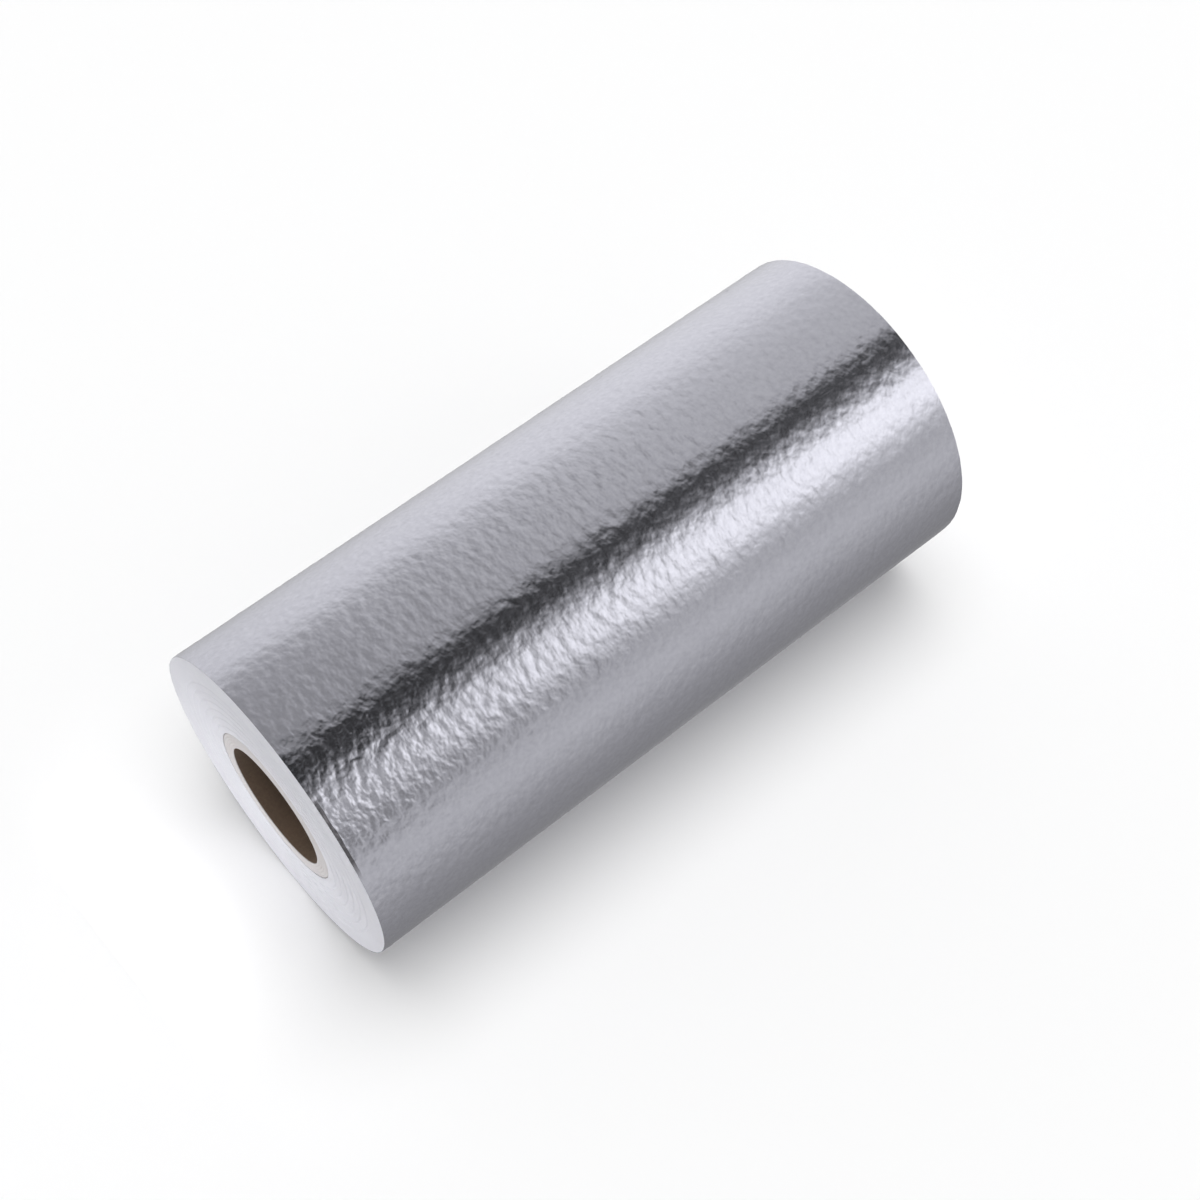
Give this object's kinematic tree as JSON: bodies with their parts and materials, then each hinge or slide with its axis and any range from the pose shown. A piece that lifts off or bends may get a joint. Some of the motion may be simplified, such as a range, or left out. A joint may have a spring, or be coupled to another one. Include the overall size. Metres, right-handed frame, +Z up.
{
  "type": "self-adhesive aluminium foil roll",
  "caption": "Roll of self-adhesive embossed aluminium foil, wound with its liner paper on a hollow card core and lying on its side.",
  "frame": {"origin": "on the surface that the roll rests on, under the middle of the roll", "axes": "+X along the roll's axis and through its bore, +Z up"},
  "size_m": [0.12, 0.0552, 0.0551],
  "materials": {
    "foil": "satin",
    "liner": "matte",
    "card": "matte"
  },
  "bodies": {
    "root": {"card_core": "card", "foil_winding": "foil"}
  },
  "joints": []
}
